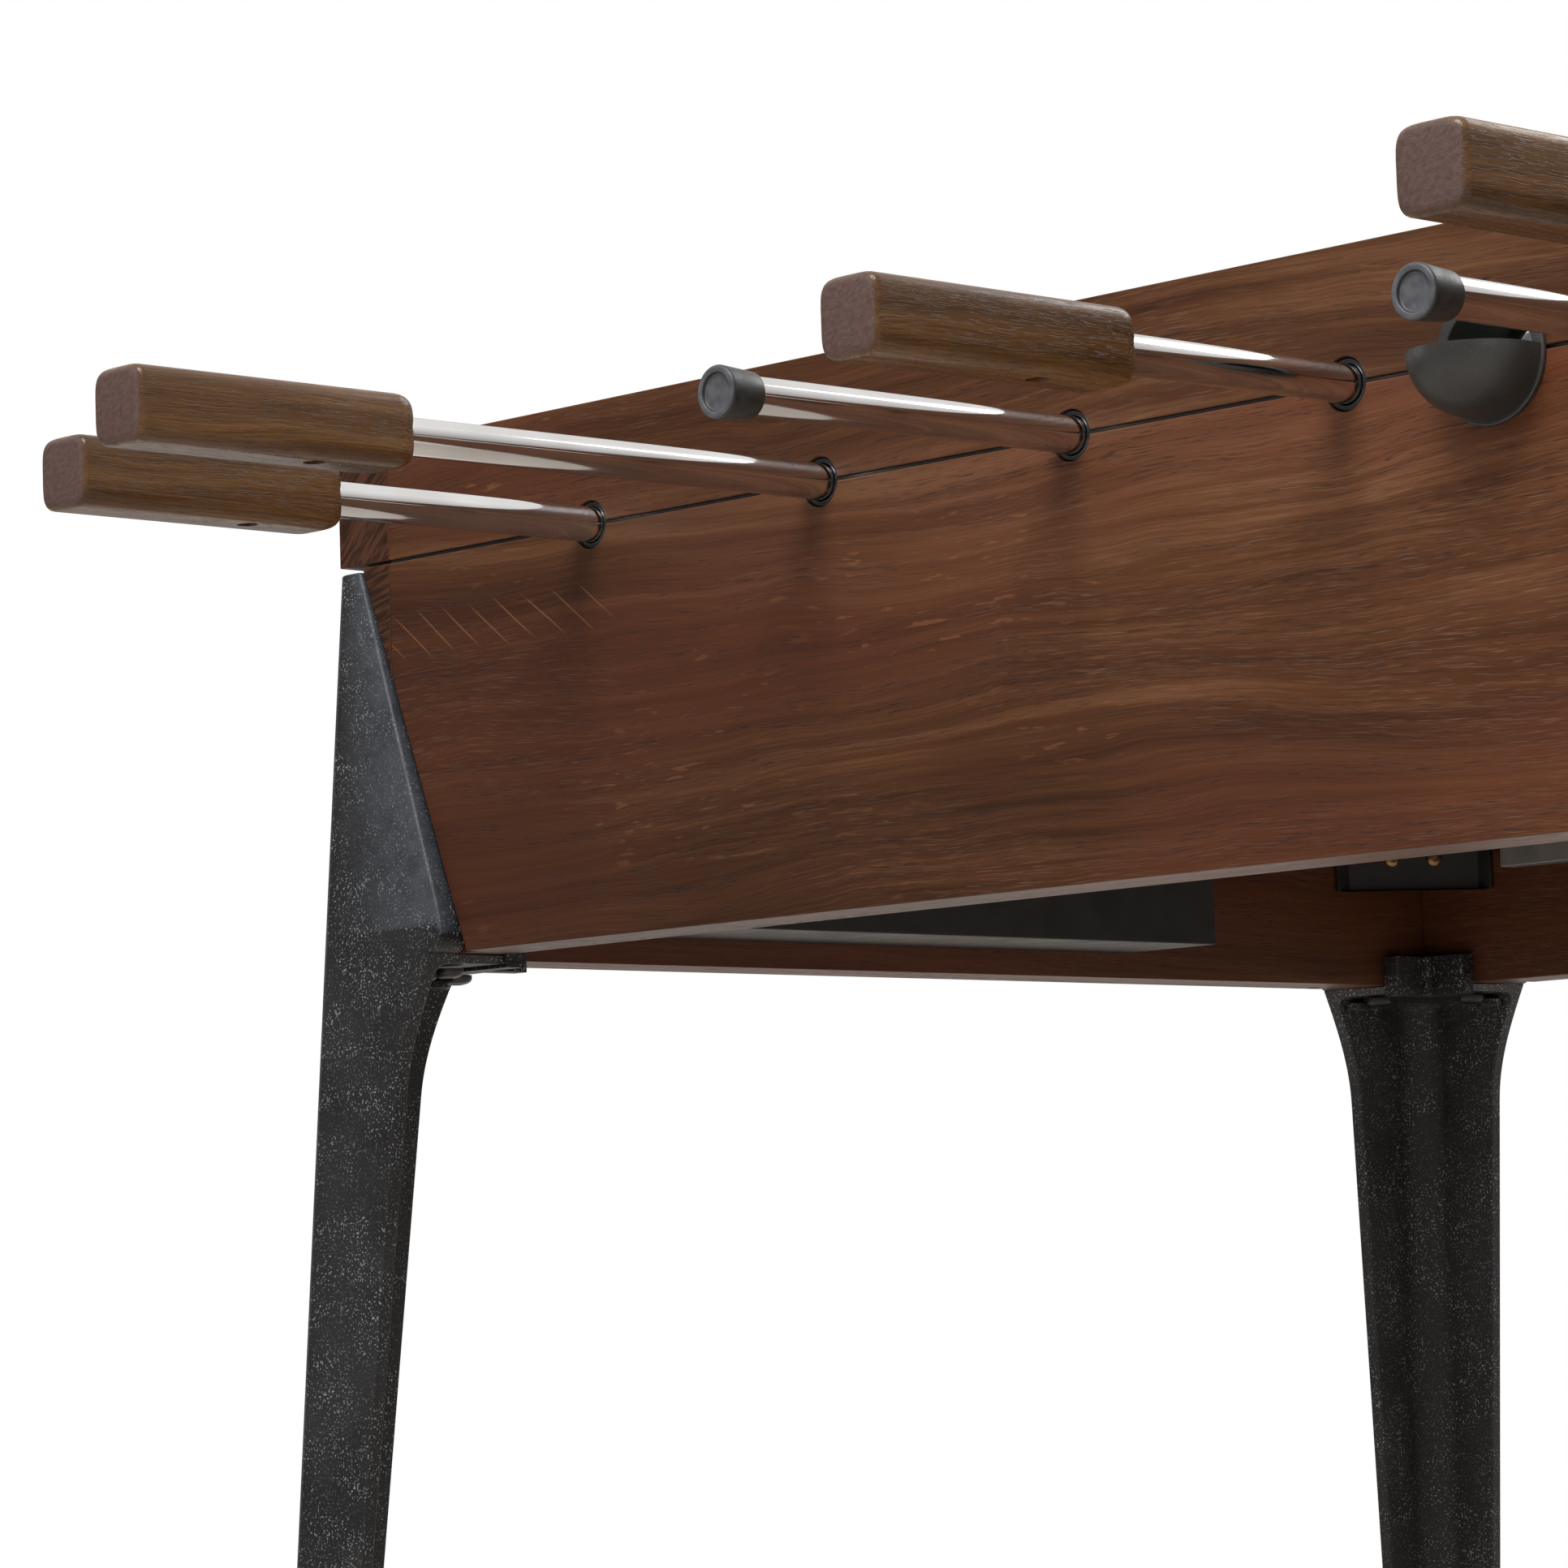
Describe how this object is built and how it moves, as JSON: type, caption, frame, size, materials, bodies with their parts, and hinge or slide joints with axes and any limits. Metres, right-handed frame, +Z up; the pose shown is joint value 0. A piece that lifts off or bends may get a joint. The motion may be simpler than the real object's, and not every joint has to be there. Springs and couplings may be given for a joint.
{
  "type": "foosball table",
  "caption": "Oak foosball table on splayed cast-iron corner legs, with sliding and spinning chromed rods, wooden grips, side ball cups and goals at both ends.",
  "frame": {"origin": "on the floor, under the middle of the table's box", "axes": "+Z up; X runs along the table, with the goals at its two ends; Y runs along the rods, the front long side towards -Y"},
  "size_m": [1.4916, 1.5404, 0.9],
  "materials": {
    "fumed_oak": "dark reddish brown fumed oak, satin, straight grain along each board with ray flecks",
    "grip_oak": "oiled oak, olive brown, satin",
    "cast_iron": "near-black cast iron, fine speckle, edges worn bright",
    "cup_iron": "smooth dark cast iron, satin",
    "chrome": "polished chromed steel",
    "bush_plastic": "glossy black",
    "cap_rubber": "dark grey matt rubber",
    "bumper_rubber": "black matt rubber",
    "field_laminate": "dark green laminate with pale line markings",
    "goal_steel": "matt black painted sheet steel"
  },
  "bodies": {
    "cabinet": {"rim_front": "fumed_oak", "rim_back": "fumed_oak", "rim_left": "fumed_oak", "rim_right": "fumed_oak", "panel_front": "fumed_oak", "panel_back": "fumed_oak", "end_panel_left": "fumed_oak", "end_panel_right": "fumed_oak", "playfield": "field_laminate", "goal_left": "goal_steel", "goal_right": "goal_steel", "bearing_strip_front": "bush_plastic", "bearing_strip_back": "bush_plastic", "ball_cup_front": "cup_iron", "ball_cup_back": "cup_iron", "leg_front_left": "cast_iron", "leg_front_right": "cast_iron", "leg_back_left": "cast_iron", "leg_back_right": "cast_iron"},
    "rod_1_carriage": {"rod_1_bumper_handle_side": "bumper_rubber", "rod_1_bumper_cap_side": "bumper_rubber"},
    "rod_1": {"rod_1_shaft": "chrome", "rod_1_handle": "grip_oak", "rod_1_cap": "cap_rubber"},
    "rod_2_carriage": {"rod_2_bumper_handle_side": "bumper_rubber", "rod_2_bumper_cap_side": "bumper_rubber"},
    "rod_2": {"rod_2_shaft": "chrome", "rod_2_handle": "grip_oak", "rod_2_cap": "cap_rubber"},
    "rod_3_carriage": {"rod_3_bumper_handle_side": "bumper_rubber", "rod_3_bumper_cap_side": "bumper_rubber"},
    "rod_3": {"rod_3_shaft": "chrome", "rod_3_handle": "grip_oak", "rod_3_cap": "cap_rubber"},
    "rod_4_carriage": {"rod_4_bumper_handle_side": "bumper_rubber", "rod_4_bumper_cap_side": "bumper_rubber"},
    "rod_4": {"rod_4_shaft": "chrome", "rod_4_handle": "grip_oak", "rod_4_cap": "cap_rubber"},
    "rod_5_carriage": {"rod_5_bumper_handle_side": "bumper_rubber", "rod_5_bumper_cap_side": "bumper_rubber"},
    "rod_5": {"rod_5_shaft": "chrome", "rod_5_handle": "grip_oak", "rod_5_cap": "cap_rubber"},
    "rod_6_carriage": {"rod_6_bumper_handle_side": "bumper_rubber", "rod_6_bumper_cap_side": "bumper_rubber"},
    "rod_6": {"rod_6_shaft": "chrome", "rod_6_handle": "grip_oak", "rod_6_cap": "cap_rubber"},
    "rod_7_carriage": {"rod_7_bumper_handle_side": "bumper_rubber", "rod_7_bumper_cap_side": "bumper_rubber"},
    "rod_7": {"rod_7_shaft": "chrome", "rod_7_handle": "grip_oak", "rod_7_cap": "cap_rubber"},
    "rod_8_carriage": {"rod_8_bumper_handle_side": "bumper_rubber", "rod_8_bumper_cap_side": "bumper_rubber"},
    "rod_8": {"rod_8_shaft": "chrome", "rod_8_handle": "grip_oak", "rod_8_cap": "cap_rubber"}
  },
  "joints": [
    {"name": "rod_1_slide", "type": "slide", "parent": "cabinet", "child": "rod_1_carriage", "axis": [0, 1, 0], "range_m": [-0.12714, 0.11926]},
    {"name": "rod_1_spin", "type": "hinge", "parent": "rod_1_carriage", "child": "rod_1", "pos_m": [-0.525, 0.00394, 0.844], "axis": [0, 1, 0], "continuous": true},
    {"name": "rod_2_slide", "type": "slide", "parent": "cabinet", "child": "rod_2_carriage", "axis": [0, 1, 0], "range_m": [-0.18324, 0.20416]},
    {"name": "rod_2_spin", "type": "hinge", "parent": "rod_2_carriage", "child": "rod_2", "pos_m": [-0.375, -0.01046, 0.844], "axis": [0, 1, 0], "continuous": true},
    {"name": "rod_3_slide", "type": "slide", "parent": "cabinet", "child": "rod_3_carriage", "axis": [0, 1, 0], "range_m": [-0.08636, 0.17104]},
    {"name": "rod_3_spin", "type": "hinge", "parent": "rod_3_carriage", "child": "rod_3", "pos_m": [-0.225, -0.04234, 0.844], "axis": [0, 1, 0], "continuous": true},
    {"name": "rod_4_slide", "type": "slide", "parent": "cabinet", "child": "rod_4_carriage", "axis": [0, 1, 0], "range_m": [-0.04739, 0.10001]},
    {"name": "rod_4_spin", "type": "hinge", "parent": "rod_4_carriage", "child": "rod_4", "pos_m": [-0.075, -0.02631, 0.844], "axis": [0, 1, 0], "continuous": true},
    {"name": "rod_5_slide", "type": "slide", "parent": "cabinet", "child": "rod_5_carriage", "axis": [0, 1, 0], "range_m": [-0.04149, 0.10591]},
    {"name": "rod_5_spin", "type": "hinge", "parent": "rod_5_carriage", "child": "rod_5", "pos_m": [0.075, -0.03221, 0.844], "axis": [0, 1, 0], "continuous": true},
    {"name": "rod_6_slide", "type": "slide", "parent": "cabinet", "child": "rod_6_carriage", "axis": [0, 1, 0], "range_m": [-0.12664, 0.13076]},
    {"name": "rod_6_spin", "type": "hinge", "parent": "rod_6_carriage", "child": "rod_6", "pos_m": [0.225, -0.00206, 0.844], "axis": [0, 1, 0], "continuous": true},
    {"name": "rod_7_slide", "type": "slide", "parent": "cabinet", "child": "rod_7_carriage", "axis": [0, 1, 0], "range_m": [-0.20416, 0.18324]},
    {"name": "rod_7_spin", "type": "hinge", "parent": "rod_7_carriage", "child": "rod_7", "pos_m": [0.375, 0.01046, 0.844], "axis": [0, 1, 0], "continuous": true},
    {"name": "rod_8_slide", "type": "slide", "parent": "cabinet", "child": "rod_8_carriage", "axis": [0, 1, 0], "range_m": [-0.11926, 0.12714]},
    {"name": "rod_8_spin", "type": "hinge", "parent": "rod_8_carriage", "child": "rod_8", "pos_m": [0.525, -0.00394, 0.844], "axis": [0, 1, 0], "continuous": true}
  ]
}
